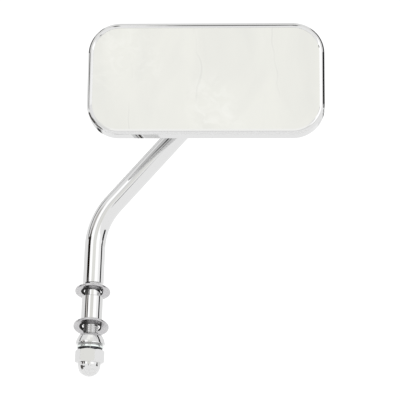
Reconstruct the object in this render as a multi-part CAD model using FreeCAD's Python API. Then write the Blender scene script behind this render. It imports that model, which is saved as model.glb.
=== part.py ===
import FreeCAD, Part

import math
import os

# Rear-view mirror for a motorbike, in millimetres.
# The origin is on the axis of the stud at the shoulder of the stem, +Z runs up the stem
# and the glass faces -Y.

# Stem: a bent round bar with a turned stud below and a flat eye above
bar_d = 13.0
shoulder_chamfer = 0.3
bend_height = 39.95
bend_angle = 39.5
bend_radius = 45.0
leg_length = 107.31
eye_r = 9.0
eye_thickness = 7.0
eye_edge = 0.8
eye_flat_length = 14.5
flat_runout_r = 10.0

# Stud: plain shank under the shoulder, then the core that carries the M10 thread
shank_d = 10.0
shank_length = 20.0
core_d = 8.8
stud_end_chamfer = 0.9
thread_engagement = 9.0
thread_clearance = 0.1

# Loose hardware on the stud, from the shoulder down
washer_od = 22.0
washer_bore = 11.2
washer_thickness = 1.5
washer_rim_round = 0.5
washer_bore_round = 0.7
upper_washer_gap = 2.5
upper_washer_lean = 14.5
sleeve_od = 13.1
sleeve_bore = 10.4
sleeve_length = 16.0
sleeve_edge_round = 0.3
sleeve_slack = 0.68
lower_washer_gap = 0.3
lower_washer_lean = 19.0
collar_slack = 1.84
collar_bore = 10.4
collar_top_d = 13.2
collar_base_d = 18.3
collar_foot_d = 15.4
collar_cone_height = 5.65
collar_bulge = 0.3
collar_land = 0.5
collar_undercut = 0.3
collar_foot_height = 1.15
plain_washer_od = 16.8
plain_washer_bore = 10.5
plain_washer_thickness = 1.35
plain_washer_round = 0.4
ring_round_share = 0.47
lock_washer_od = 15.4
lock_washer_bore = 10.3
lock_washer_thickness = 1.2
lock_slit = 1.0
lock_slit_slant = 25.0
lock_slit_turn = 5.5
nut_flats = 16.0
nut_hex_height = 8.1
nut_turn = -5.7
nut_chamfer_angle = 30.0
nut_edge_round = 0.2
nut_dome_d = 13.9
nut_dome_wall_height = 1.5
nut_bore_room = 1.0
nut_mouth_chamfer = 0.7

# Ball stud, bolted through the eye
ball_d = 14.0
ball_offset = 18.0
neck_d = 7.0
hex_collar_flats = 13.0
hex_collar_height = 4.0
eye_pin_d = 8.0
eye_pin_clearance = 0.1
eye_face_clearance = 0.05
eye_washer_od = 14.0
eye_washer_thickness = 2.0
eye_washer_slit = 0.9
eye_nut_flats = 13.0
eye_nut_height = 6.5
eye_pin_end = 2.0

# Ball socket on the back of the head
running_clearance = 0.06
liner_wall = 1.4
liner_back_reach = 3.6
liner_front_reach = 5.5
cup_wall = 1.6
cup_back_reach = 4.0
flange_r = 17.0
flange_thickness = 1.2
socket_reach = 8.6
disc_side_clearance = 0.25
disc_back_reach = 4.0
disc_web = 1.5
spring_height = 2.6
spring_thickness = 0.9
spring_hole_r = 3.6
bridge_wall = 1.2
bridge_side_room = 0.6
screw_circle_r = 13.6
screw_count = 4
screw_d = 3.0
screw_hole_clearance = 0.15
screw_head_d = 5.6
screw_head_height = 1.8
screw_end = 2.0

# Head: rim, glass, felt and drawn shell
head_w = 148.6
head_h = 73.5
corner_r = 20.0
head_roll = 1.1
head_pan = 2.0
socket_drop = 2.1
socket_side = 0.0
side_depth = 9.4
back_rise = 5.4
crown_corner_r = 3.0
shell_wall = 1.2
boss_margin = 1.5
boss_height = 0.6
rim_width = 3.3
rim_depth = 3.0
rim_wall = 1.4
rim_edge_run = 0.3
rim_side_tilt = 90.0
rim_facet_run = 0.75
rim_facet_tilt = 44.0
rim_roll_run = 0.4
rim_roll_tilt = 39.5
rim_crest_run = 0.1
rim_crest_tilt = 25.0
rim_face_run = 0.3
rim_face_tilt = -5.5
rim_slope_tilt = -9.5
rim_inner_tilt = -26.0
rim_lip_edge = 0.2
glass_thickness = 2.5
glass_clearance = 0.15
glass_seat_gap = 0.05
felt_thickness = 1.5
felt_clearance = 0.4

# Axial levels of the hardware stack
bar_r = bar_d / 2
sleeve_r = sleeve_od / 2
upper_slope = math.tan(math.radians(upper_washer_lean))
lower_slope = math.tan(math.radians(lower_washer_lean))
upper_washer_z = -upper_washer_gap - bar_r * upper_slope
upper_washer_under = upper_washer_z - washer_thickness / math.cos(math.radians(upper_washer_lean))
sleeve_top = upper_washer_under - sleeve_r * upper_slope - sleeve_slack
sleeve_bottom = sleeve_top - sleeve_length
lower_washer_z = sleeve_bottom - lower_washer_gap - sleeve_r * lower_slope
lower_washer_under = lower_washer_z - washer_thickness / math.cos(math.radians(lower_washer_lean))
collar_top = lower_washer_under - collar_top_d / 2 * lower_slope - collar_slack
collar_bottom = collar_top - collar_cone_height - collar_land - collar_foot_height
plain_washer_bottom = collar_bottom - plain_washer_thickness
nut_top = plain_washer_bottom - lock_washer_thickness
stud_end = nut_top - thread_engagement

# Place of the eye and of the ball
leg_direction = FreeCAD.Vector(math.sin(math.radians(bend_angle)), 0, math.cos(math.radians(bend_angle)))
bend_corner = FreeCAD.Vector(0, 0, bend_height)
eye_centre = bend_corner + leg_direction * leg_length
ball_centre = eye_centre - FreeCAD.Vector(0, ball_offset, 0)

# Spheres of the ball joint
ball_r = ball_d / 2
liner_in_r = ball_r + running_clearance
liner_out_r = liner_in_r + liner_wall
cup_in_r = liner_out_r + running_clearance
cup_out_r = cup_in_r + cup_wall

# Depths in the head, measured along Y from the ball's centre
flange_seat = -socket_reach
back_face = flange_seat - boss_height
dome_start = back_face - back_rise
front_face = dome_start - side_depth
shell_front = front_face + rim_depth
back_inside = back_face - shell_wall
rim_slope_run = rim_width - rim_edge_run - rim_facet_run - rim_roll_run - rim_crest_run - rim_face_run
rim_face_fall = rim_face_run * math.tan(math.radians(-(rim_face_tilt + rim_slope_tilt) / 2))
rim_slope_fall = rim_slope_run * math.tan(math.radians(-(rim_slope_tilt + rim_inner_tilt) / 2))
rim_lip = rim_face_fall + rim_slope_fall + rim_lip_edge
glass_front = front_face + rim_lip + glass_seat_gap
glass_back = glass_front + glass_thickness
disc_front = -cup_in_r - disc_web
bridge_floor = disc_front - spring_height
dome_inset = corner_r - crown_corner_r


def vec(x, y, z):
    return FreeCAD.Vector(x, y, z)


def revolved(points, centre, axis):
    """Turn a closed outline of points by a full circle."""
    face = Part.Face(Part.makePolygon(points + [points[0]]))
    return face.revolve(centre, axis, 360)


def ring(r_out, r_in, z_top, z_bottom, rim_round=0.0, bore_round=0.0):
    """Flat ring or tube on the stud's axis, with its rim and bore edges rounded."""
    height = z_top - z_bottom
    largest_round = height * ring_round_share
    disc = Part.makeCylinder(r_out, height, vec(0, 0, z_bottom))
    if rim_round > 0:
        edges = circles_at(disc, vec(0, 0, z_bottom)) + circles_at(disc, vec(0, 0, z_top))
        disc = disc.makeFillet(min(rim_round, largest_round), edges)
    hole = Part.makeCylinder(r_in, height, vec(0, 0, z_bottom))
    made = disc.cut(hole)
    if bore_round > 0:
        edges = circles_at(made, vec(0, 0, z_bottom)) + circles_at(made, vec(0, 0, z_top))
        bore_edges = [edge for edge in edges if abs(edge.Curve.Radius - r_in) < 1e-6]
        made = made.makeFillet(min(bore_round, largest_round), bore_edges)
    return made


def circles_at(shape, centre):
    """Full circles of a shape whose centre is at the point."""
    found = []
    for edge in shape.Edges:
        if edge.isClosed() and (edge.CenterOfMass - centre).Length < 1e-6:
            found.append(edge)
    return found


def hexagon(flats, height, base, axis, turn=0.0):
    """Hexagonal prism that rises from base along axis, with its long edges rounded."""
    corner = flats / math.sqrt(3)
    side = vec(1, 0, 0)
    up = axis.cross(side)
    points = []
    for index in range(7):
        angle = math.radians(turn + 60 * index)
        points.append(base + side * (corner * math.cos(angle)) + up * (corner * math.sin(angle)))
    prism = Part.Face(Part.makePolygon(points)).extrude(axis * height)
    long_edges = []
    for edge in prism.Edges:
        if abs(abs(edge.tangentAt(edge.FirstParameter).dot(axis)) - 1) < 1e-6:
            long_edges.append(edge)
    return prism.makeFillet(nut_edge_round, long_edges)


def slit_box(width, radius, height):
    """Thin block that cuts a ring open along +X from its axis."""
    return Part.makeBox(radius * 2, width, height * 4, vec(0, -width / 2, -height * 2))


def rect_wire(inset, y):
    """Rounded outline of the head, drawn in by inset, at depth y from the ball's centre."""
    radius = corner_r - inset
    straight_w = head_w / 2 - corner_r
    straight_h = head_h / 2 - corner_r
    diagonal = radius * math.sqrt(0.5)
    edges = []
    for side_x, side_z in [(1, 1), (-1, 1), (-1, -1), (1, -1)]:
        centre = vec(side_x * straight_w + socket_side, y, side_z * straight_h + socket_drop)
        at_side = centre + vec(side_x * radius, 0, 0)
        middle = centre + vec(side_x * diagonal, 0, side_z * diagonal)
        at_top = centre + vec(0, 0, side_z * radius)
        if side_x * side_z > 0:
            start, end = at_side, at_top
        else:
            start, end = at_top, at_side
        if edges:
            edges.append(Part.makeLine(edges[-1].valueAt(edges[-1].LastParameter), start))
        edges.append(Part.Arc(start, middle, end).toShape())
    first = edges[0].valueAt(edges[0].FirstParameter)
    edges.append(Part.makeLine(edges[-1].valueAt(edges[-1].LastParameter), first))
    return Part.Wire(edges)


def rect_prism(inset, y_front, y_back):
    """Block with the head's outline between two depths."""
    return Part.Face(rect_wire(inset, y_front)).extrude(vec(0, y_back - y_front, 0))


def domed_pan(inset, y_front, y_start, y_crown):
    """Block with straight sides to y_start and an elliptical crown to y_crown."""
    steps = 6
    sections = []
    for index in range(steps + 1):
        angle = math.radians(90 * index / steps)
        drawn_in = inset + (dome_inset - inset) * (1 - math.cos(angle))
        sections.append(rect_wire(drawn_in, y_start + (y_crown - y_start) * math.sin(angle)))
    crown = Part.makeLoft(sections, True, False)
    return rect_prism(inset, y_front, y_start).fuse(crown)


def in_head(shape):
    """Move a piece that is drawn round the ball's centre to the place where the head is set."""
    shape.rotate(vec(0, 0, 0), vec(0, 1, 0), -head_roll)
    shape.rotate(vec(0, 0, 0), vec(0, 0, 1), -head_pan)
    shape.translate(ball_centre)
    return shape


def leaning(shape, lean, z):
    """Lean a washer that is drawn at the origin, near edge up, and lower it to z."""
    shape.rotate(vec(0, 0, 0), vec(1, 0, 0), -lean)
    shape.translate(vec(0, 0, z))
    return shape


def make_stem():
    tangent = bend_radius * math.tan(math.radians(bend_angle / 2))
    straight = bend_height - tangent
    lower = Part.makeCylinder(bar_r, straight)
    lower = lower.makeChamfer(shoulder_chamfer, circles_at(lower, vec(0, 0, 0)))
    section = Part.Face(Part.Wire(Part.makeCircle(bar_r, vec(0, 0, straight), vec(0, 0, 1))))
    bend = section.revolve(vec(bend_radius, 0, straight), vec(0, 1, 0), bend_angle)
    leg_start = bend_corner + leg_direction * tangent
    leg = Part.makeCylinder(bar_r, leg_length - tangent, leg_start, leg_direction)
    for side in (1, -1):
        leg = leg.cut(eye_flat(side))
    half_eye = vec(0, eye_thickness / 2, 0)
    eye = Part.makeCylinder(eye_r, eye_thickness, eye_centre - half_eye, vec(0, 1, 0))
    eye_rims = circles_at(eye, eye_centre - half_eye) + circles_at(eye, eye_centre + half_eye)
    eye = eye.makeChamfer(eye_edge, eye_rims)
    shank = Part.makeCylinder(shank_d / 2, shank_length, vec(0, 0, -shank_length))
    core = revolved(
        [
            vec(0, 0, -shank_length),
            vec(core_d / 2, 0, -shank_length),
            vec(core_d / 2, 0, stud_end + stud_end_chamfer),
            vec(core_d / 2 - stud_end_chamfer, 0, stud_end),
            vec(0, 0, stud_end),
        ],
        vec(0, 0, 0),
        vec(0, 0, 1),
    )
    bore_start = eye_centre - vec(0, eye_thickness, 0)
    bore = Part.makeCylinder(eye_pin_d / 2 + eye_pin_clearance, eye_thickness * 2, bore_start, vec(0, 1, 0))
    stem = lower.fuse([bend, leg, eye, shank, core]).cut(bore)
    return stem.removeSplitter()


def eye_flat(side):
    """Cutter for one flat of the eye, with a round run-out into the bar."""
    across = vec(0, side, 0)
    along = leg_direction
    sideways = along.cross(across)
    start = eye_centre - along * eye_flat_length + across * (eye_thickness / 2)
    corners = [
        start - sideways * bar_d,
        start + sideways * bar_d,
        start + sideways * bar_d + along * (eye_flat_length * 2),
        start - sideways * bar_d + along * (eye_flat_length * 2),
    ]
    block = Part.Face(Part.makePolygon(corners + [corners[0]])).extrude(across * bar_d)
    runout_centre = start + across * flat_runout_r - sideways * bar_d
    return block.fuse(Part.makeCylinder(flat_runout_r, bar_d * 2, runout_centre, sideways))


def make_seat_washer(lean, z):
    washer = ring(washer_od / 2, washer_bore / 2, 0, -washer_thickness, washer_rim_round, washer_bore_round)
    return leaning(washer, lean, z)


def make_spacer_sleeve():
    return ring(sleeve_r, sleeve_bore / 2, sleeve_top, sleeve_bottom, sleeve_edge_round)


def make_cone_collar():
    bore_r = collar_bore / 2
    top_r = collar_top_d / 2
    base_r = collar_base_d / 2
    cone_end = collar_top - collar_cone_height
    top = vec(top_r, 0, collar_top)
    base = vec(base_r, 0, cone_end)
    land = vec(base_r, 0, cone_end - collar_land)
    neck = vec(collar_foot_d / 2, 0, cone_end - collar_land - collar_undercut)
    foot = vec(collar_foot_d / 2, 0, collar_bottom)
    outward = (base - top).cross(vec(0, 1, 0)).normalize()
    if outward.x < 0:
        outward = outward * -1
    bulged = (top + base) * 0.5 + outward * collar_bulge
    edges = [
        Part.Arc(top, bulged, base).toShape(),
        Part.makeLine(base, land),
        Part.makeLine(land, neck),
        Part.makeLine(neck, foot),
        Part.makeLine(foot, vec(bore_r, 0, collar_bottom)),
        Part.makeLine(vec(bore_r, 0, collar_bottom), vec(bore_r, 0, collar_top)),
        Part.makeLine(vec(bore_r, 0, collar_top), top),
    ]
    return Part.Face(Part.Wire(edges)).revolve(vec(0, 0, 0), vec(0, 0, 1), 360)


def make_plain_washer():
    bore_r = plain_washer_bore / 2
    return ring(plain_washer_od / 2, bore_r, collar_bottom, plain_washer_bottom, plain_washer_round)


def make_split_lock_washer():
    washer = ring(lock_washer_od / 2, lock_washer_bore / 2, plain_washer_bottom, nut_top)
    slit = slit_box(lock_slit, lock_washer_od, lock_washer_thickness)
    slit.rotate(vec(0, 0, 0), vec(1, 0, 0), lock_slit_slant)
    slit.rotate(vec(0, 0, 0), vec(0, 0, 1), lock_slit_turn - 90)
    slit.translate(vec(0, 0, (plain_washer_bottom + nut_top) / 2))
    return washer.cut(slit)


def make_acorn_nut():
    hex_bottom = nut_top - nut_hex_height
    dome_z = hex_bottom - nut_dome_wall_height
    dome_r = nut_dome_d / 2
    body = hexagon(nut_flats, nut_hex_height, vec(0, 0, hex_bottom), vec(0, 0, 1), nut_turn)
    flat_r = nut_flats / 2
    corner = nut_flats / math.sqrt(3)
    fall = (corner - flat_r) * math.tan(math.radians(nut_chamfer_angle))
    turned = revolved(
        [
            vec(0, 0, nut_top),
            vec(flat_r, 0, nut_top),
            vec(corner, 0, nut_top - fall),
            vec(corner, 0, hex_bottom + fall),
            vec(flat_r, 0, hex_bottom),
            vec(0, 0, hex_bottom),
        ],
        vec(0, 0, 0),
        vec(0, 0, 1),
    )
    wall = Part.makeCylinder(dome_r, nut_dome_wall_height, vec(0, 0, dome_z))
    dome = Part.makeSphere(dome_r, vec(0, 0, dome_z), vec(0, 0, 1), -90, 0, 360)
    bore_r = core_d / 2 + thread_clearance
    bore_end = stud_end - nut_bore_room
    bore = revolved(
        [
            vec(0, 0, nut_top),
            vec(bore_r + nut_mouth_chamfer, 0, nut_top),
            vec(bore_r, 0, nut_top - nut_mouth_chamfer),
            vec(bore_r, 0, bore_end),
            vec(0, 0, bore_end),
        ],
        vec(0, 0, 0),
        vec(0, 0, 1),
    )
    return body.common(turned).fuse([wall, dome]).removeSplitter().cut(bore)


def make_ball_stud():
    axis = vec(0, 1, 0)
    collar_face = ball_offset - eye_thickness / 2 - eye_face_clearance
    collar_start = collar_face - hex_collar_height
    pin_length = eye_thickness + eye_face_clearance * 2 + eye_washer_thickness + eye_nut_height + eye_pin_end
    ball = Part.makeSphere(ball_r)
    neck = Part.makeCylinder(neck_d / 2, collar_start, vec(0, 0, 0), axis)
    collar = hexagon(hex_collar_flats, hex_collar_height, vec(0, collar_start, 0), axis)
    pin = Part.makeCylinder(eye_pin_d / 2, pin_length, vec(0, collar_face, 0), axis)
    stud = ball.fuse([neck, collar, pin]).removeSplitter()
    stud.translate(ball_centre)
    return stud


def behind_eye(distance):
    """Point on the ball stud's axis at a distance behind the back of the eye."""
    return eye_centre + vec(0, eye_thickness / 2 + eye_face_clearance + distance, 0)


def make_eye_lock_washer():
    axis = vec(0, 1, 0)
    washer = Part.makeCylinder(eye_washer_od / 2, eye_washer_thickness, behind_eye(0), axis)
    hole = Part.makeCylinder(eye_pin_d / 2 + eye_pin_clearance, eye_washer_thickness, behind_eye(0), axis)
    slit = slit_box(eye_washer_slit, eye_washer_od, eye_washer_thickness)
    slit.rotate(vec(0, 0, 0), vec(1, 0, 0), 90 + lock_slit_slant)
    slit.translate(behind_eye(eye_washer_thickness / 2))
    return washer.cut([hole, slit])


def make_eye_nut():
    axis = vec(0, 1, 0)
    base = behind_eye(eye_washer_thickness)
    body = hexagon(eye_nut_flats, eye_nut_height, base, axis)
    flat_r = eye_nut_flats / 2
    corner = eye_nut_flats / math.sqrt(3)
    fall = (corner - flat_r) * math.tan(math.radians(nut_chamfer_angle))
    turned = revolved(
        [
            base,
            base + vec(flat_r, 0, 0),
            base + vec(corner, fall, 0),
            base + vec(corner, eye_nut_height - fall, 0),
            base + vec(flat_r, eye_nut_height, 0),
            base + vec(0, eye_nut_height, 0),
        ],
        base,
        axis,
    )
    hole = Part.makeCylinder(eye_pin_d / 2 + eye_pin_clearance, eye_nut_height, base, axis)
    return body.common(turned).cut(hole)


def ball_zone(radius, y_front, y_back):
    """Slice of a ball between two depths."""
    slab = Part.makeBox(radius * 4, y_back - y_front, radius * 4, vec(-radius * 2, y_front, -radius * 2))
    return Part.makeSphere(radius).common(slab)


def make_ball_seat():
    liner = ball_zone(liner_out_r, -liner_front_reach, liner_back_reach)
    return in_head(liner.cut(Part.makeSphere(liner_in_r)))


def make_socket_cup():
    axis = vec(0, 1, 0)
    flange = Part.makeCylinder(flange_r, flange_thickness, vec(0, flange_seat, 0), axis)
    barrel = Part.makeCylinder(cup_out_r, socket_reach, vec(0, flange_seat, 0), axis)
    dome = ball_zone(cup_out_r, 0, cup_back_reach)
    cup = flange.fuse([barrel, dome]).removeSplitter()
    hollow = Part.makeCylinder(cup_in_r, socket_reach, vec(0, flange_seat, 0), axis)
    cup = cup.cut([hollow, Part.makeSphere(cup_in_r)])
    cup = cup.cut(screw_shanks(screw_d / 2 + screw_hole_clearance))
    return in_head(cup)


def screw_places():
    """Points on the screw circle, between the axes of the head."""
    places = []
    for index in range(screw_count):
        angle = math.radians(360 / screw_count * (index + 0.5))
        places.append(vec(screw_circle_r * math.cos(angle), 0, screw_circle_r * math.sin(angle)))
    return places


def screw_span():
    """Depth of the screws' ends and of the face under their heads."""
    seat = flange_seat + flange_thickness
    return back_inside - bridge_wall - screw_end, seat


def screw_shanks(radius):
    """Straight shanks through flange, shell and bridge."""
    end, seat = screw_span()
    shanks = []
    for place in screw_places():
        shanks.append(Part.makeCylinder(radius, seat - end, place + vec(0, end, 0), vec(0, 1, 0)))
    return shanks


def make_socket_screws():
    seat = vec(0, screw_span()[1], 0)
    rise = vec(0, screw_head_height, 0)
    screws = []
    for place, shank in zip(screw_places(), screw_shanks(screw_d / 2)):
        head = Part.makeCylinder(screw_head_d / 2, screw_head_height, place + seat, vec(0, 1, 0))
        head = head.makeFillet(screw_head_height / 2, circles_at(head, place + seat + rise))
        screws.append(head.fuse(shank).removeSplitter())
    return in_head(Part.makeCompound(screws))


def make_pressure_disc():
    axis = vec(0, 1, 0)
    radius = cup_in_r - disc_side_clearance
    disc = Part.makeCylinder(radius, -disc_back_reach - disc_front, vec(0, disc_front, 0), axis)
    return in_head(disc.cut(Part.makeSphere(cup_in_r)))


def make_dished_spring():
    outer = cup_in_r - disc_side_clearance
    outline = [
        vec(spring_hole_r, bridge_floor, 0),
        vec(spring_hole_r, bridge_floor + spring_thickness, 0),
        vec(outer, disc_front, 0),
        vec(outer, disc_front - spring_thickness, 0),
    ]
    return in_head(revolved(outline, vec(0, 0, 0), vec(0, 1, 0)))


def make_socket_bridge():
    inner = cup_in_r + bridge_side_room
    outer = inner + bridge_wall
    outline = [
        vec(0, bridge_floor - bridge_wall, 0),
        vec(outer, bridge_floor - bridge_wall, 0),
        vec(outer, back_inside - bridge_wall, 0),
        vec(flange_r, back_inside - bridge_wall, 0),
        vec(flange_r, back_inside, 0),
        vec(inner, back_inside, 0),
        vec(inner, bridge_floor, 0),
        vec(0, bridge_floor, 0),
    ]
    bridge = revolved(outline, vec(0, 0, 0), vec(0, 1, 0))
    return in_head(bridge.cut(screw_shanks(screw_d / 2 + screw_hole_clearance)))


def make_head_shell():
    axis = vec(0, 1, 0)
    outside = domed_pan(0, shell_front, dome_start, back_face)
    boss_depth = flange_seat - back_inside
    boss = Part.makeCylinder(flange_r + boss_margin, boss_depth, vec(0, back_inside, 0), axis)
    inside = domed_pan(shell_wall, shell_front, dome_start, back_inside)
    hole_depth = flange_seat - front_face
    hole = Part.makeCylinder(cup_in_r + bridge_side_room, hole_depth, vec(0, front_face, 0), axis)
    shell = outside.fuse(boss).cut([inside, hole] + screw_shanks(screw_d / 2 + screw_hole_clearance))
    return in_head(shell.removeSplitter())


def rim_section(centre, outward):
    """Cross-section of the rim beside a corner's centre: six bowed bands, then the lip and the wall."""
    def at(point):
        return centre + outward * (corner_r - point.x) + vec(0, front_face + point.y, 0)

    bands = [
        (rim_edge_run, rim_side_tilt, rim_facet_tilt),
        (rim_facet_run, rim_facet_tilt, rim_roll_tilt),
        (rim_roll_run, rim_roll_tilt, rim_crest_tilt),
        (rim_crest_run, rim_crest_tilt, rim_face_tilt),
        (rim_face_run, rim_face_tilt, rim_slope_tilt),
        (rim_slope_run, rim_slope_tilt, rim_inner_tilt),
    ]
    steps = []
    for run, tilt, next_tilt in bands:
        steps.append(vec(run, -run * math.tan(math.radians((tilt + next_tilt) / 2)), 0))
    start = vec(0, rim_face_fall + rim_slope_fall - sum(step.y for step in steps), 0)
    edges = []
    here = start
    for step, (run, tilt, next_tilt) in zip(steps, bands):
        there = here + step
        bow = step.Length / 2 * math.tan(math.radians((tilt - next_tilt) / 4))
        middle = (here + there) * 0.5 + vec(step.y, -step.x, 0).normalize() * bow
        edges.append(Part.Arc(at(here), at(middle), at(there)).toShape())
        here = there
    behind = [vec(rim_width, rim_lip, 0), vec(rim_wall, rim_lip, 0), vec(rim_wall, rim_depth, 0)]
    for point in behind + [vec(0, rim_depth, 0), start]:
        edges.append(Part.makeLine(at(here), at(point)))
        here = point
    return Part.Face(Part.Wire(edges))


def make_rim_bezel():
    straight_w = head_w / 2 - corner_r
    straight_h = head_h / 2 - corner_r
    parts = []
    for side_x, side_z, outward in [
        (1, 1, vec(1, 0, 0)),
        (-1, 1, vec(0, 0, 1)),
        (-1, -1, vec(-1, 0, 0)),
        (1, -1, vec(0, 0, -1)),
    ]:
        centre = vec(side_x * straight_w + socket_side, 0, side_z * straight_h + socket_drop)
        parts.append(rim_section(centre, outward).revolve(centre, vec(0, -1, 0), 90))
        run = vec(0, 0, -2 * straight_h) if outward.z == 0 else vec(2 * straight_w, 0, 0)
        parts.append(rim_section(centre, outward).extrude(run * (outward.x + outward.z)))
    return in_head(parts[0].fuse(parts[1:]).removeSplitter())


def make_mirror_glass():
    return in_head(rect_prism(rim_wall + glass_clearance, glass_front, glass_back))


def make_backing_pad():
    return in_head(rect_prism(rim_wall + felt_clearance, glass_back, glass_back + felt_thickness))


pieces = {
    "stem": make_stem(),
    "seat_washer_upper": make_seat_washer(upper_washer_lean, upper_washer_z),
    "spacer_sleeve": make_spacer_sleeve(),
    "seat_washer_lower": make_seat_washer(lower_washer_lean, lower_washer_z),
    "cone_collar": make_cone_collar(),
    "plain_washer": make_plain_washer(),
    "split_lock_washer": make_split_lock_washer(),
    "acorn_nut": make_acorn_nut(),
    "ball_stud": make_ball_stud(),
    "eye_lock_washer": make_eye_lock_washer(),
    "eye_nut": make_eye_nut(),
    "ball_seat": make_ball_seat(),
    "socket_cup": make_socket_cup(),
    "pressure_disc": make_pressure_disc(),
    "dished_spring": make_dished_spring(),
    "socket_bridge": make_socket_bridge(),
    "socket_screws": make_socket_screws(),
    "head_shell": make_head_shell(),
    "rim_bezel": make_rim_bezel(),
    "mirror_glass": make_mirror_glass(),
    "backing_pad": make_backing_pad(),
}

os.makedirs("parts", exist_ok=True)
for name, shape in pieces.items():
    shape.exportStep("parts/" + name + ".step")
    box = shape.BoundBox
    print(name, len(shape.Solids), shape.isValid(), round(shape.Volume, 1))
    print("   ", [round(value, 2) for value in (box.XMin, box.XMax, box.YMin, box.YMax, box.ZMin, box.ZMax)])
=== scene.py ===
import math

import bmesh
import bpy
from mathutils import Matrix, Vector


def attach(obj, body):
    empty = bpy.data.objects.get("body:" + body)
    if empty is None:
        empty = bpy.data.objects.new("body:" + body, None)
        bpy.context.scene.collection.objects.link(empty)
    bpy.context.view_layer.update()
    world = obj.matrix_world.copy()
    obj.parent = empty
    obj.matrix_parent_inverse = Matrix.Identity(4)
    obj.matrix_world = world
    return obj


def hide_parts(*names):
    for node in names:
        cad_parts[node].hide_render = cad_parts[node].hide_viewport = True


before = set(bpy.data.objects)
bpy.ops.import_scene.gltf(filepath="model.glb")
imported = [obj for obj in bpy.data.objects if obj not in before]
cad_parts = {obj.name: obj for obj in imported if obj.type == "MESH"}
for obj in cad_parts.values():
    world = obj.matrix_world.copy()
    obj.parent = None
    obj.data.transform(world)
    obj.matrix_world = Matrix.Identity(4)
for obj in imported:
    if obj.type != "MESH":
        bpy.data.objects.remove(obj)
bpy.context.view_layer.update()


# Stem: a 13 mm round steel bar, bent once, flattened to an eye above and turned to a stud below.
# It is polished and chromed all over, so it shows the room as sharp streaks along the bar.
def linear(hex_colour):
    channels = [int(hex_colour[start:start + 2], 16) / 255 for start in (1, 3, 5)]
    return [c / 12.92 if c < 0.04045 else ((c + 0.055) / 1.055) ** 2.4 for c in channels] + [1.0]


def add(tree, kind, links=(), values=(), **settings):
    node = tree.nodes.new(kind)
    for name, value in settings.items():
        setattr(node, name, value)
    for socket, value in values:
        node.inputs[socket].default_value = value
    for socket, source in links:
        tree.links.new(source, node.inputs[socket])
    return node


def finish_of(node_name, material):
    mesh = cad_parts[node_name].data
    for index in range(len(mesh.materials)):
        mesh.materials[index] = material


# chrome plate: white metal that copies its surroundings sharply and takes about a third of their light
chrome = bpy.data.materials.new("chrome_plate")
chrome.use_nodes = True
tree = chrome.node_tree
shader = tree.nodes["Principled BSDF"]
place = add(tree, "ShaderNodeTexCoord").outputs["Object"]
# polishing leaves long shallow waves, about 9 mm from crest to crest
waves = add(tree, "ShaderNodeTexNoise", [("Vector", place)], [("Scale", 110.0), ("Detail", 1.0)])
bump = add(
    tree,
    "ShaderNodeBump",
    [("Height", waves.outputs["Fac"])],
    [("Strength", 0.05), ("Distance", 0.0003)],
)
tree.links.new(bump.outputs["Normal"], shader.inputs["Normal"])
# finger smears, about 12 mm across, dull the plate a little
smears = add(tree, "ShaderNodeTexNoise", [("Vector", place)], [("Scale", 80.0), ("Detail", 4.0)])
dulling = add(
    tree,
    "ShaderNodeMapRange",
    [("Value", smears.outputs["Fac"])],
    [("From Min", 0.35), ("From Max", 0.75), ("To Min", 0.02), ("To Max", 0.06)],
)
# painted shade: the corners round the stud are painted near black, not metallic and rougher, where shade
# falls
painted_shade_roughness = 0.5
painted_shade_edge = 0.0006
all_round = 0.02
left_part = -0.0022
# each band has its middle and half height in z, its outer radius, the x up to which it lies and its cover
painted_shade_bands = [
    # under the sleeve, in the collar's neck and in the thread's roots
    (-0.0241, 0.0002, 0.0062, all_round, 1.0),
    (-0.0392, 0.00035, 0.008, all_round, 0.5),
    (-0.0315, 0.0115, 0.00455, all_round, 0.12),
    # on the left of the shank and of the thread, beside the two washers
    (-0.004, 0.004, 0.0051, left_part, 0.9),
    (-0.0315, 0.0115, 0.0051, left_part, 0.9),
]
across = add(tree, "ShaderNodeVectorMath", [(0, place)], [(1, (1, 1, 0))], operation="MULTIPLY")
radius = add(tree, "ShaderNodeVectorMath", [(0, across.outputs[0])], operation="LENGTH")
axes = add(tree, "ShaderNodeSeparateXYZ", [("Vector", place)])
painted_shade = None
for middle, half, reach, side, cover in painted_shade_bands:
    level = add(
        tree,
        "ShaderNodeMath",
        [(0, axes.outputs["Z"])],
        [(1, middle), (2, half)],
        operation="COMPARE",
    )
    near = add(tree, "ShaderNodeMath", [(0, radius.outputs["Value"])], [(1, reach)], operation="LESS_THAN")
    band = add(tree, "ShaderNodeMath", [(0, level.outputs[0]), (1, near.outputs[0])], operation="MULTIPLY")
    spread = add(
        tree,
        "ShaderNodeMapRange",
        [("Value", axes.outputs["X"])],
        [
            ("From Min", side - painted_shade_edge),
            ("From Max", side + painted_shade_edge),
            ("To Min", cover),
            ("To Max", 0.0),
        ],
    )
    thin = add(tree, "ShaderNodeMath", [(0, band.outputs[0]), (1, spread.outputs[0])], operation="MULTIPLY")
    if painted_shade:
        thin = add(
            tree,
            "ShaderNodeMath",
            [(0, painted_shade.outputs[0]), (1, thin.outputs[0])],
            operation="MAXIMUM",
        )
    painted_shade = thin
# the plate's own colour, mixed towards near black where the shade is painted
plate_and_painted_shade = add(
    tree,
    "ShaderNodeMixRGB",
    [("Fac", painted_shade.outputs[0])],
    [("Color1", linear("#DADADA")), ("Color2", linear("#131211"))],
)
tree.links.new(plate_and_painted_shade.outputs["Color"], shader.inputs["Base Color"])
# the plate is metallic only where no shade is painted
unshaded = add(tree, "ShaderNodeMath", [(1, painted_shade.outputs[0])], [(0, 1.0)], operation="SUBTRACT")
tree.links.new(unshaded.outputs[0], shader.inputs["Metallic"])
dulled = add(
    tree,
    "ShaderNodeMath",
    [(0, painted_shade.outputs[0]), (2, dulling.outputs["Result"])],
    [(1, painted_shade_roughness)],
    operation="MULTIPLY_ADD",
)
tree.links.new(dulled.outputs[0], shader.inputs["Roughness"])
finish_of("stem", chrome)


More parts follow.
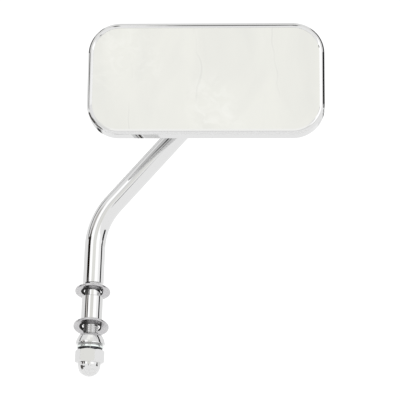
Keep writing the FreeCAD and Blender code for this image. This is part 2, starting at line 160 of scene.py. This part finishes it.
# Thread of the stud: M10 x 1.25, rolled into the lower part of the stud and plated with it.
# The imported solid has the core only, so the ridge is wound round it from the plain shank to the cap nut.
def mesh_piece(name, bm, material):
    mesh = bpy.data.meshes.new(name)
    bm.to_mesh(mesh)
    bm.free()
    mesh.materials.append(material)
    piece = bpy.data.objects.new(name, mesh)
    bpy.context.scene.collection.objects.link(piece)
    return piece


pitch = 0.00125
root_r = 0.0043
crest_r = 0.00495
crest_from = 0.0005
crest_to = 0.00065
ridge_width = 0.00115
thread_top = -0.0203
thread_bottom = -0.0419
steps_a_turn = 48
flank = [(root_r, 0.0), (crest_r, crest_from), (crest_r, crest_to), (root_r, ridge_width)]
thread_steps = int((thread_top - thread_bottom - ridge_width) / pitch * steps_a_turn)
bm = bmesh.new()
ridge = [bm.verts.new((flank_r, 0.0, thread_bottom + flank_rise)) for flank_r, flank_rise in flank]
ridge_edges = [bm.edges.new((ridge[index - 1], ridge[index])) for index in range(len(ridge))]
bmesh.ops.spin(
    bm,
    geom=ridge + ridge_edges,
    cent=(0, 0, 0),
    axis=(0, 0, 1),
    dvec=(0, 0, pitch / steps_a_turn),
    angle=2 * math.pi * thread_steps / steps_a_turn,
    steps=thread_steps,
)
bmesh.ops.holes_fill(bm, edges=[edge for edge in bm.edges if edge.is_boundary], sides=len(ridge))
bmesh.ops.recalc_face_normals(bm, faces=bm.faces)
for face in bm.faces:
    face.smooth = True
thread = mesh_piece("stud_thread", bm, chrome)
thread.data.set_sharp_from_angle(angle=math.radians(25))
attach(thread, "stem")

# Seat washers: two loose 22 mm washers, stamped from mild steel and tumbled round at the edges.
# They are zinc plated, a cloudy grey on these two and brighter on the rest of the hardware.
# painted shade: a near-black, not metallic ring round the bore of the two seat washers
shade_ring_shift = (0.0004, 0.0015, 0.0)
shade_ring_light_x = 0.0012
shade_ring_light_half = 0.0012
shade_ring_full_half = 0.0037
shade_ring_lightest = 0.45
shade_ring_roughness = 0.6
zinc_plates = {}
for name, dull, bright, blur_from, blur_to, shade_ring_reach in (
    ("tumbled_zinc_plate", "#BCBBBD", "#C8C7C8", 0.1, 0.24, 0.0069),
    ("bright_zinc_plate", "#E2E8E6", "#EBF0EE", 0.06, 0.16, 0.0),
):
    zinc = bpy.data.materials.new(name)
    zinc.use_nodes = True
    tree = zinc.node_tree
    shader = tree.nodes["Principled BSDF"]
    shader.inputs["Metallic"].default_value = 1.0
    place = add(tree, "ShaderNodeTexCoord").outputs["Object"]
    # the plate clouds over in patches about 4 mm across
    clouds = add(tree, "ShaderNodeTexNoise", [("Vector", place)], [("Scale", 250.0), ("Detail", 3.0)])
    tint = add(tree, "ShaderNodeValToRGB", [("Fac", clouds.outputs["Fac"])])
    tint.color_ramp.elements[0].position = 0.3
    tint.color_ramp.elements[0].color = linear(dull)
    tint.color_ramp.elements[1].position = 0.7
    tint.color_ramp.elements[1].color = linear(bright)
    tree.links.new(tint.outputs["Color"], shader.inputs["Base Color"])
    blur = add(
        tree,
        "ShaderNodeMapRange",
        [("Value", clouds.outputs["Fac"])],
        [("To Min", blur_from), ("To Max", blur_to)],
    )
    tree.links.new(blur.outputs["Result"], shader.inputs["Roughness"])
    if shade_ring_reach:
        # painted shade: the bore and its edge are painted near black, and the dark ring is shifted 1.5 mm to
        # the front
        across = add(
            tree,
            "ShaderNodeVectorMath",
            [(0, place)],
            [(1, (1, 1, 0)), (2, shade_ring_shift)],
            operation="MULTIPLY_ADD",
        )
        radius = add(tree, "ShaderNodeVectorMath", [(0, across.outputs[0])], operation="LENGTH")
        inside = add(
            tree,
            "ShaderNodeMath",
            [(0, radius.outputs["Value"])],
            [(1, shade_ring_reach)],
            operation="LESS_THAN",
        )
        # the painted shade is full on the left and at the far right, and lightest about 1 mm right of the
        # middle
        axes = add(tree, "ShaderNodeSeparateXYZ", [("Vector", place)])
        off_middle = add(
            tree,
            "ShaderNodeMath",
            [(0, axes.outputs["X"])],
            [(1, shade_ring_light_x)],
            operation="SUBTRACT",
        )
        apart = add(tree, "ShaderNodeMath", [(0, off_middle.outputs[0])], operation="ABSOLUTE")
        shade_ring_cover = add(
            tree,
            "ShaderNodeMapRange",
            [("Value", apart.outputs[0])],
            [
                ("From Min", shade_ring_light_half),
                ("From Max", shade_ring_full_half),
                ("To Min", shade_ring_lightest),
                ("To Max", 1.0),
            ],
        )
        painted_shade_ring = add(
            tree,
            "ShaderNodeMath",
            [(0, inside.outputs[0]), (1, shade_ring_cover.outputs[0])],
            operation="MULTIPLY",
        )
        # painted shade: the tint is mixed towards near black inside the ring
        shaded_tint = add(
            tree,
            "ShaderNodeMixRGB",
            [("Fac", painted_shade_ring.outputs[0]), ("Color1", tint.outputs["Color"])],
            [("Color2", linear("#141312"))],
        )
        tree.links.new(shaded_tint.outputs["Color"], shader.inputs["Base Color"])
        unshaded = add(tree, "ShaderNodeMath", [(1, painted_shade_ring.outputs[0])], [(0, 1.0)], operation="SUBTRACT")
        tree.links.new(unshaded.outputs[0], shader.inputs["Metallic"])
        shaded_blur = add(
            tree,
            "ShaderNodeMath",
            [(0, painted_shade_ring.outputs[0]), (2, blur.outputs["Result"])],
            [(1, shade_ring_roughness)],
            operation="MULTIPLY_ADD",
        )
        tree.links.new(shaded_blur.outputs[0], shader.inputs["Roughness"])
    # tumbling leaves fine nicks, drawn 0.6 mm wide so that they show
    nicks = add(tree, "ShaderNodeTexNoise", [("Vector", place)], [("Scale", 1600.0), ("Detail", 2.0)])
    bump = add(
        tree,
        "ShaderNodeBump",
        [("Height", nicks.outputs["Fac"])],
        [("Strength", 0.15), ("Distance", 0.00004)],
    )
    tree.links.new(bump.outputs["Normal"], shader.inputs["Normal"])
    zinc_plates[name] = zinc
finish_of("seat_washer_upper", zinc_plates["tumbled_zinc_plate"])
finish_of("seat_washer_lower", zinc_plates["tumbled_zinc_plate"])

# Spacer sleeve and cone collar: turned from steel bar, one a plain tube and the other a bulged cone.
# Both slide on the stud and are chromed like the stem.
finish_of("spacer_sleeve", chrome)
finish_of("cone_collar", chrome)

# Plain washer under the collar: stamped steel with bright zinc plate.
# The nut clamps it against the collar's foot.
bright_zinc = zinc_plates["bright_zinc_plate"]
finish_of("plain_washer", bright_zinc)

# Split lock washers: coiled square spring wire, cut through on a slant, one under each nut.
# They are oil-blackened, with thinner patches where the steel shows grey.
spring_steel = bpy.data.materials.new("oil_blackened_spring_steel")
spring_steel.use_nodes = True
tree = spring_steel.node_tree
shader = tree.nodes["Principled BSDF"]
shader.inputs["Metallic"].default_value = 1.0
place = add(tree, "ShaderNodeTexCoord").outputs["Object"]
# the oil film varies in patches about 3 mm across
film = add(tree, "ShaderNodeTexNoise", [("Vector", place)], [("Scale", 330.0), ("Detail", 4.0)])
tint = add(tree, "ShaderNodeValToRGB", [("Fac", film.outputs["Fac"])])
tint.color_ramp.elements[0].position = 0.35
tint.color_ramp.elements[0].color = linear("#1F1F21")
tint.color_ramp.elements[1].position = 0.75
tint.color_ramp.elements[1].color = linear("#5C5C60")
tree.links.new(tint.outputs["Color"], shader.inputs["Base Color"])
blur = add(tree, "ShaderNodeMapRange", [("Value", film.outputs["Fac"])], [("To Min", 0.5), ("To Max", 0.3)])
tree.links.new(blur.outputs["Result"], shader.inputs["Roughness"])
bump = add(
    tree,
    "ShaderNodeBump",
    [("Height", film.outputs["Fac"])],
    [("Strength", 0.2), ("Distance", 0.0001)],
)
tree.links.new(bump.outputs["Normal"], shader.inputs["Normal"])
finish_of("split_lock_washer", spring_steel)
finish_of("eye_lock_washer", spring_steel)

# Cap nut: forged with a 16 mm hexagon and a round closed end, then polished and chromed.
# It closes the stack on the stud.
finish_of("acorn_nut", chrome)

# Ball stud: turned steel with a 14 mm ball, a hexagon to hold it and a pin through the eye of the stem.
# It is zinc plated, and its chromed nut sits behind the eye.
finish_of("ball_stud", bright_zinc)
finish_of("eye_nut", chrome)

# Ball seat: a thin liner moulded from black nylon, between ball and cup.
# The mould leaves a fine satin grain.
nylon = bpy.data.materials.new("moulded_nylon")
nylon.use_nodes = True
tree = nylon.node_tree
shader = tree.nodes["Principled BSDF"]
shader.inputs["IOR"].default_value = 1.53
place = add(tree, "ShaderNodeTexCoord").outputs["Object"]
# satin grain, drawn 0.3 mm wide so that it shows
grain = add(tree, "ShaderNodeTexNoise", [("Vector", place)], [("Scale", 3300.0), ("Detail", 2.0)])
tint = add(tree, "ShaderNodeValToRGB", [("Fac", grain.outputs["Fac"])])
tint.color_ramp.elements[0].color = linear("#161617")
tint.color_ramp.elements[1].color = linear("#242425")
tree.links.new(tint.outputs["Color"], shader.inputs["Base Color"])
blur = add(tree, "ShaderNodeMapRange", [("Value", grain.outputs["Fac"])], [("To Min", 0.4), ("To Max", 0.58)])
tree.links.new(blur.outputs["Result"], shader.inputs["Roughness"])
bump = add(
    tree,
    "ShaderNodeBump",
    [("Height", grain.outputs["Fac"])],
    [("Strength", 0.3), ("Distance", 0.00003)],
)
tree.links.new(bump.outputs["Normal"], shader.inputs["Normal"])
finish_of("ball_seat", nylon)

# Socket behind the head: a drawn and chromed cup, pressed on the ball by a disc and a dished spring.
# A zinc-plated bridge inside the shell holds the spring.
finish_of("socket_cup", chrome)
finish_of("pressure_disc", bright_zinc)
finish_of("dished_spring", spring_steel)
finish_of("socket_bridge", bright_zinc)

# Socket screws: four M3 pan heads with a cross recess, through the flange of the cup into the bridge.
# They are headed and rolled from steel wire and zinc plated.
# the head stands a little turned and slanted about the ball, and its screws with it
ball_centre = Vector((0.0682576, -0.018, 0.1227530))
mirror_turn = math.radians(-2.0)
mirror_slant = math.radians(-1.1)
mirror_set = (
    Matrix.Translation(ball_centre)
    @ Matrix.Rotation(mirror_turn, 4, "Z")
    @ Matrix.Rotation(mirror_slant, 4, "Y")
)
screw_circle_r = 0.0136
screw_sides = 24
screw_top = -0.0056
recess_ring_r = 0.0019
recess_arm = 0.00038
recess_reach = 0.0016
recess_depth = 0.0011
recess_taper = 0.55
# radius and height of the rings from the flat round the recess, over the head, down to the end of the shank
screw_rings = [
    (0.00228, -0.00010),
    (0.00258, -0.00034),
    (0.00276, -0.00074),
    (0.00280, -0.00120),
    (0.00280, -0.00180),
    (0.00150, -0.00180),
    (0.00150, -0.00800),
]
# how far each recess was left turned, and the screw's place on the circle, in degrees
screw_angles = [(18, 45), (63, 135), (40, 225), (81, 315)]
face_the_back = Matrix.Rotation(math.radians(-90), 3, "X")
bm = bmesh.new()
for recess_turn, place_angle in screw_angles:
    made = bmesh.ops.create_circle(bm, segments=screw_sides, radius=recess_ring_r)["verts"]
    outer = [edge for edge in bm.edges if edge.verts[0] in made and edge.verts[1] in made]
    corners = []
    for quarter in range(4):
        quarter_turn = Matrix.Rotation(math.pi / 2 * quarter, 3, "Z")
        for x, y in ((recess_reach, -recess_arm), (recess_reach, recess_arm), (recess_arm, recess_arm)):
            corners.append(bm.verts.new(quarter_turn @ Vector((x, y, 0.0))))
    cross = bm.faces.new(corners)
    inner = bmesh.ops.subdivide_edges(bm, edges=cross.edges, cuts=1)["geom_split"]
    inner = [part for part in inner if isinstance(part, bmesh.types.BMEdge)]
    sunk = bmesh.ops.extrude_face_region(bm, geom=[cross])["geom"]
    recess_end = [part for part in sunk if isinstance(part, bmesh.types.BMVert)]
    bmesh.ops.scale(bm, verts=recess_end, vec=(recess_taper, recess_taper, 1.0))
    bmesh.ops.translate(bm, verts=recess_end, vec=(0, 0, -recess_depth))
    bmesh.ops.delete(bm, geom=[cross], context="FACES_ONLY")
    bmesh.ops.bridge_loops(bm, edges=outer + inner)
    edges = outer
    radius_now = recess_ring_r
    height_now = 0.0
    for ring_r, ring_height in screw_rings:
        grown = bmesh.ops.extrude_edge_only(bm, edges=edges)["geom"]
        ring = [part for part in grown if isinstance(part, bmesh.types.BMVert)]
        edges = [part for part in grown if isinstance(part, bmesh.types.BMEdge) and part.is_boundary]
        bmesh.ops.scale(bm, verts=ring, vec=(ring_r / radius_now, ring_r / radius_now, 1.0))
        bmesh.ops.translate(bm, verts=ring, vec=(0, 0, ring_height - height_now))
        radius_now = ring_r
        height_now = ring_height
    bmesh.ops.holes_fill(bm, edges=edges, sides=screw_sides)
    # the screw stands upright so far; the finished ones carry a tag
    fresh = [vert for vert in bm.verts if not vert.tag]
    turned = Matrix.Rotation(math.radians(recess_turn), 3, "Z")
    bmesh.ops.rotate(bm, verts=fresh, cent=(0, 0, 0), matrix=turned)
    bmesh.ops.rotate(bm, verts=fresh, cent=(0, 0, 0), matrix=face_the_back)
    angle = math.radians(place_angle)
    spot = Vector((screw_circle_r * math.cos(angle), screw_top, screw_circle_r * math.sin(angle)))
    bmesh.ops.translate(bm, verts=fresh, vec=spot)
    for vert in fresh:
        vert.tag = True
bmesh.ops.transform(bm, matrix=mirror_set, verts=bm.verts)
bmesh.ops.recalc_face_normals(bm, faces=bm.faces)
for face in bm.faces:
    face.smooth = True
screws = mesh_piece("cross_head_screws", bm, bright_zinc)
screws.data.set_sharp_from_angle(angle=math.radians(40))
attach(screws, "head")
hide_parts("socket_screws")

# Head shell and rim: the shell is drawn from sheet steel, and the rolled rim is crimped over its edge.
# Both are buffed and chromed together.
finish_of("head_shell", chrome)
finish_of("rim_bezel", chrome)

# Mirror glass: 2.5 mm float glass, silvered behind and held by the rim.
# It is a clean mirror with the faint haze and drying lines that a damp cloth leaves.
glass = bpy.data.materials.new("silvered_glass")
glass.use_nodes = True
tree = glass.node_tree
shader = tree.nodes["Principled BSDF"]
shader.inputs["Metallic"].default_value = 1.0
shader.inputs["Roughness"].default_value = 0.01
place = add(tree, "ShaderNodeTexCoord").outputs["Object"]
# wiping haze, in patches about 25 mm wide and 60 mm long that lean across the glass
lay = add(
    tree,
    "ShaderNodeMapping",
    [("Vector", place)],
    [("Rotation", (0.0, 0.5, 0.0)), ("Scale", (40.0, 40.0, 16.0))],
)
haze = add(
    tree,
    "ShaderNodeTexNoise",
    [("Vector", lay.outputs["Vector"])],
    [("Scale", 1.0), ("Detail", 3.0), ("Distortion", 0.6)],
)
wiped = add(tree, "ShaderNodeValToRGB", [("Fac", haze.outputs["Fac"])])
wiped.color_ramp.elements[0].position = 0.35
wiped.color_ramp.elements[0].color = linear("#F2F2ED")
wiped.color_ramp.elements[1].position = 0.65
wiped.color_ramp.elements[1].color = linear("#F8F8F2")
# bloom: light specks about 7 mm across, in areas about 60 mm wide; the shift sets where the areas lie
shift = add(tree, "ShaderNodeMapping", [("Vector", place)], [("Location", (0.03, 0.0, 0.0))])
area = add(
    tree,
    "ShaderNodeTexNoise",
    [("Vector", shift.outputs["Vector"])],
    [("Scale", 17.0), ("Detail", 1.0)],
)
inside = add(
    tree,
    "ShaderNodeMapRange",
    [("Value", area.outputs["Fac"])],
    [("From Min", 0.48), ("From Max", 0.62)],
)
specks = add(
    tree,
    "ShaderNodeTexNoise",
    [("Vector", place)],
    [("Scale", 140.0), ("Detail", 4.0), ("Distortion", 1.0)],
)
light_specks = add(
    tree,
    "ShaderNodeMapRange",
    [("Value", specks.outputs["Fac"])],
    [("From Min", 0.42), ("From Max", 0.72), ("To Max", 0.75)],
)
bloom = add(
    tree,
    "ShaderNodeMath",
    [(0, inside.outputs["Result"]), (1, light_specks.outputs["Result"])],
    operation="MULTIPLY",
)
# drying lines, wavy, about 45 mm apart and 2 mm wide, light round a darker middle 1 mm wide
lines = add(
    tree,
    "ShaderNodeTexWave",
    [("Vector", place)],
    [("Scale", 7.0), ("Distortion", 5.0), ("Detail", 3.0), ("Detail Scale", 1.6), ("Phase Offset", 1.4)],
)
# the lines fade where the haze is light
fade = add(
    tree,
    "ShaderNodeMapRange",
    [("Value", haze.outputs["Fac"])],
    [("From Min", 0.62), ("From Max", 0.44), ("To Max", 0.5)],
)
line_parts = []
for part_from, part_to in ((0.988, 0.998), (0.996, 1.0)):
    width = add(
        tree,
        "ShaderNodeMapRange",
        [("Value", lines.outputs["Fac"])],
        [("From Min", part_from), ("From Max", part_to)],
    )
    line_parts.append(
        add(tree, "ShaderNodeMath", [(0, width.outputs[0]), (1, fade.outputs[0])], operation="MULTIPLY")
    )
light_line, dark_line = line_parts
for trace, trace_hex in ((bloom, "#FFFFFA"), (light_line, "#FCFCF7"), (dark_line, "#DCDCD8")):
    wiped = add(
        tree,
        "ShaderNodeMixRGB",
        [("Fac", trace.outputs[0]), ("Color1", wiped.outputs["Color"])],
        [("Color2", linear(trace_hex))],
    )
tree.links.new(wiped.outputs["Color"], shader.inputs["Base Color"])
finish_of("mirror_glass", glass)

# Backing pad: pressed grey felt between the glass and the shell, cut to the glass's outline.
# Short wool fibres make it fuzzy and dull.
felt = bpy.data.materials.new("pressed_wool_felt")
felt.use_nodes = True
tree = felt.node_tree
shader = tree.nodes["Principled BSDF"]
shader.inputs["Roughness"].default_value = 0.95
shader.inputs["Sheen Weight"].default_value = 0.2
place = add(tree, "ShaderNodeTexCoord").outputs["Object"]
# fibres, drawn 0.5 mm wide so that they show
fibres = add(tree, "ShaderNodeTexNoise", [("Vector", place)], [("Scale", 2000.0), ("Detail", 5.0)])
tint = add(tree, "ShaderNodeValToRGB", [("Fac", fibres.outputs["Fac"])])
tint.color_ramp.elements[0].color = linear("#262625")
tint.color_ramp.elements[1].color = linear("#4A4A48")
tree.links.new(tint.outputs["Color"], shader.inputs["Base Color"])
bump = add(
    tree,
    "ShaderNodeBump",
    [("Height", fibres.outputs["Fac"])],
    [("Strength", 0.6), ("Distance", 0.0002)],
)
tree.links.new(bump.outputs["Normal"], shader.inputs["Normal"])
finish_of("backing_pad", felt)

# Floor: a round sheet of white paper, well below the mirror, which hangs free in front of the camera.
# Some light comes through it from below, so that it is as white as the tent.
paper_r = 0.45
paper_sides = 96
paper_centre = (0.05, 0.0, -0.30)
paper = bpy.data.materials.new("white_paper")
paper.use_nodes = True
shader = paper.node_tree.nodes["Principled BSDF"]
shader.inputs["Base Color"].default_value = linear("#F4F4F4")
shader.inputs["Roughness"].default_value = 0.8
# the light from below
shader.inputs["Emission Color"].default_value = linear("#FFFFFF")
shader.inputs["Emission Strength"].default_value = 0.24
bm = bmesh.new()
bmesh.ops.create_circle(bm, cap_ends=True, segments=paper_sides, radius=paper_r)
bmesh.ops.translate(bm, verts=bm.verts, vec=paper_centre)
floor = mesh_piece("studio_floor", bm, paper)

# Light: a white tent round the mirror with two long soft boxes in front, and the gaps between its sheets.
# Directions are in degrees: azimuth 0 is the camera's side, positive to the right, and elevation is up.
world = bpy.data.worlds.new("light_tent")
bpy.context.scene.world = world
world.use_nodes = True
tree = world.node_tree
tree.nodes.clear()
place = add(tree, "ShaderNodeTexCoord").outputs["Generated"]
axes = add(tree, "ShaderNodeSeparateXYZ", [("Vector", place)])
front = add(tree, "ShaderNodeMath", [(0, axes.outputs["Y"])], [(1, -1.0)], operation="MULTIPLY")
turn = add(tree, "ShaderNodeMath", [(0, axes.outputs["X"]), (1, front.outputs[0])], operation="ARCTAN2")
azimuth = add(tree, "ShaderNodeMath", [(0, turn.outputs[0])], operation="DEGREES")
lift = add(tree, "ShaderNodeMath", [(0, axes.outputs["Z"])], operation="ARCSINE")
elevation = add(tree, "ShaderNodeMath", [(0, lift.outputs[0])], operation="DEGREES")
# each panel: azimuth from, to and softness, elevation from, to and softness, lean, and its light
panels = [
    # sheets behind the mirror, left and right
    (-220, -150, 12, -95, 95, 5, 0.0, (0.87, 0.87, 0.87)),
    (150, 220, 12, -95, 95, 5, 0.0, (0.87, 0.87, 0.87)),
    (-160, -95, 8, 30, 62, 6, 0.0, (0.92, 0.92, 0.92)),
    # lower half of the tent
    (-220, 220, 5, -120, 5, 1.5, 0.0, (1.10, 1.10, 1.10)),
    (-220, -150, 8, -60, 5, 2, 0.0, (1.03, 1.03, 1.03)),
    (150, 220, 8, -60, 5, 2, 0.0, (1.03, 1.03, 1.03)),
    # sheets on the right
    (96, 150, 4, 5, 20, 3, 0.0, (1.09, 1.09, 1.09)),
    (110, 150, 4, 8, 12.2, 0.5, 0.0, (0.98, 0.98, 0.97)),
    (48, 82, 2, 5, 17, 2, 0.0, (1.18, 1.18, 1.18)),
    # sheet above the camera and sheet round it
    (-35, 35, 6, 42, 70, 1.5, 0.0, (1.24, 1.24, 1.21)),
    (0.5, 35, 1.5, 36, 55, 1.5, 0.0, (1.06, 1.06, 1.03)),
    (-25, 27, 3, 36, 42, 1, 0.0, (0.96, 0.96, 0.93)),
    (-18, 17, 2, 5, 16, 1.5, 0.0, (1.03, 1.03, 0.99)),
    (-13, 17, 1.5, 7, 12.2, 0.4, 0.0, (0.96, 0.955, 0.915)),
    (-18, 17, 2, 16, 36, 1.5, 0.0, (0.915, 0.915, 0.91)),
    # soft boxes
    (-49, -18.5, 1.5, 6, 40, 1.5, 0.0, (1.45, 1.45, 1.45)),
    (17, 50, 2, 6, 16.5, 1.5, 0.0, (1.45, 1.45, 1.45)),
    (17, 50, 2, 16.5, 21.5, 1, 0.0, (1.25, 1.25, 1.25)),
    (8, 50, 4, 21.5, 38, 1, 0.0, (1.07, 1.07, 1.07)),
    # gap on the left, darkest at the height of the stem
    (-72, -45, 4, 23, 38, 2.5, 0.0, (0.62, 0.60, 0.58)),
    (-71, -52, 3, 20, 25, 1.5, 0.0, (0.28, 0.26, 0.25)),
    (-90, -71, 1, 17.9, 19.8, 0.4, 0.0, (0.10, 0.095, 0.09)),
    (-72, -53, 1, 17.9, 21.5, 0.5, 0.0, (0.08, 0.07, 0.06)),
    (-78.5, -48, 1.5, 12, 18.6, 0.5, 0.0, (0.014, 0.008, 0.005)),
    (-64, -51.5, 1, 8, 12, 0.3, 0.0, (0.75, 0.72, 0.69)),
    (-79, -64, 1, 8, 12.2, 0.3, 0.0, (0.04, 0.036, 0.033)),
    (-51.5, -40.5, 1, 8, 12.2, 0.3, 0.0, (0.04, 0.036, 0.033)),
    # gap that rises to the left and behind
    (-86, -73.5, 0.8, 20, 46, 1.5, -0.6, (0.10, 0.10, 0.10)),
    (-65, -57, 1.5, 46, 54, 1.5, -1.0, (0.45, 0.45, 0.45)),
    (-38, -24, 1.5, 53.5, 60, 1.5, -1.6, (0.04, 0.04, 0.04)),
    # gap that falls to the left
    (-98, -66, 1.5, -46, -25, 2, 0.0, (0.22, 0.215, 0.21)),
    (-98, -66, 1.5, -25, 1, 2, 0.0, (0.11, 0.105, 0.10)),
    (-73, -43, 2, -21, -8, 2, 0.0, (0.14, 0.135, 0.13)),
    # gaps behind the mirror on the left and on the right
    (-166.5, -160, 1, -2.5, 4.5, 2, 0.0, (0.05, 0.05, 0.05)),
    (-172, -157, 2, 22, 33, 2, 0.0, (0.02, 0.02, 0.02)),
    (167, 173, 1, 14.5, 18, 0.7, 0.0, (0.08, 0.08, 0.08)),
    # gap on the right
    (79.5, 103, 1.2, -2.8, 8.2, 0.5, 0.0, (0.04, 0.04, 0.04)),
    (85, 99, 1.2, 7.8, 10.8, 0.5, 0.0, (0.03, 0.03, 0.03)),
    (78.5, 97, 1.2, 10.4, 16, 0.3, 0.0, (0.03, 0.03, 0.03)),
    (58, 100, 1.2, 16, 23, 1, 0.0, (0.01, 0.01, 0.01)),
    # gap that rises to the right and behind
    (67.5, 87, 1.2, 21, 52, 1.5, 0.45, (0.02, 0.02, 0.02)),
    (24, 44, 2, 50, 64, 3, 1.2, (0.04, 0.04, 0.04)),
    # narrow grey slit below the camera, and a dark one beside it
    (-5.7, -0.7, 1.2, -9, 6, 1.5, 0.0, (0.22, 0.22, 0.22)),
    (18.5, 23, 1.5, -7.5, -3.5, 0.7, 0.0, (0.02, 0.02, 0.02)),
]
light = None
for az_from, az_to, az_soft, el_from, el_to, el_soft, lean, level in panels:
    leaned = add(
        tree,
        "ShaderNodeMath",
        [(0, elevation.outputs[0]), (2, azimuth.outputs[0])],
        [(1, -lean)],
        operation="MULTIPLY_ADD",
    )
    masks = []
    for source, start, soft, before, after in (
        (leaned, az_from, az_soft, 0.0, 1.0),
        (leaned, az_to, az_soft, 1.0, 0.0),
        (elevation, el_from, el_soft, 0.0, 1.0),
        (elevation, el_to, el_soft, 1.0, 0.0),
    ):
        border = add(
            tree,
            "ShaderNodeMapRange",
            [("Value", source.outputs[0])],
            [("From Min", start - soft), ("From Max", start + soft), ("To Min", before), ("To Max", after)],
            interpolation_type="SMOOTHSTEP",
        )
        masks.append(border.outputs[0])
    sides = add(tree, "ShaderNodeMath", [(0, masks[0]), (1, masks[1])], operation="MULTIPLY")
    ends = add(tree, "ShaderNodeMath", [(0, masks[2]), (1, masks[3])], operation="MULTIPLY")
    mask = add(tree, "ShaderNodeMath", [(0, sides.outputs[0]), (1, ends.outputs[0])], operation="MULTIPLY")
    mixed = add(
        tree,
        "ShaderNodeMixRGB",
        [("Fac", mask.outputs[0])],
        [("Color1", (1, 1, 1, 1)), ("Color2", level + (1,))],
    )
    if light:
        tree.links.new(light.outputs["Color"], mixed.inputs["Color1"])
    light = mixed
tent_light = add(tree, "ShaderNodeBackground", [("Color", light.outputs["Color"])])
# the background that the camera sees past the mirror is plain white
white = add(tree, "ShaderNodeBackground", values=[("Color", (1, 1, 1, 1)), ("Strength", 1.1)])
seen = add(tree, "ShaderNodeLightPath")
either = add(
    tree,
    "ShaderNodeMixShader",
    [(0, seen.outputs["Is Camera Ray"]), (1, tent_light.outputs[0]), (2, white.outputs[0])],
)
add(tree, "ShaderNodeOutputWorld", [("Surface", either.outputs[0])])
bpy.context.scene.view_settings.view_transform = "Standard"

# Camera: it stands low in front of the mirror, a metre away, and looks up at it.
# Its long lens keeps the two ends of the stem at nearly the same scale.
camera_data = bpy.data.cameras.new("camera")
camera_data.sensor_width = 36.0
camera_data.lens = 150.39
camera = bpy.data.objects.new("camera", camera_data)
bpy.context.scene.collection.objects.link(camera)
aim = Vector((0.0656, 0.0, 0.0569))
sideways = math.radians(0.872)
rise = math.radians(15.221)
roll = math.radians(1.855)
distance = 1.0674
forward = Vector((-math.sin(sideways) * math.cos(rise), math.cos(sideways) * math.cos(rise), math.sin(rise)))
level_right = forward.cross(Vector((0, 0, 1))).normalized()
right = level_right * math.cos(roll) + level_right.cross(forward) * math.sin(roll)
above = right.cross(forward)
facing = Matrix((right, above, -forward)).transposed().to_4x4()
camera.matrix_world = Matrix.Translation(aim - forward * distance) @ facing
bpy.context.scene.camera = camera
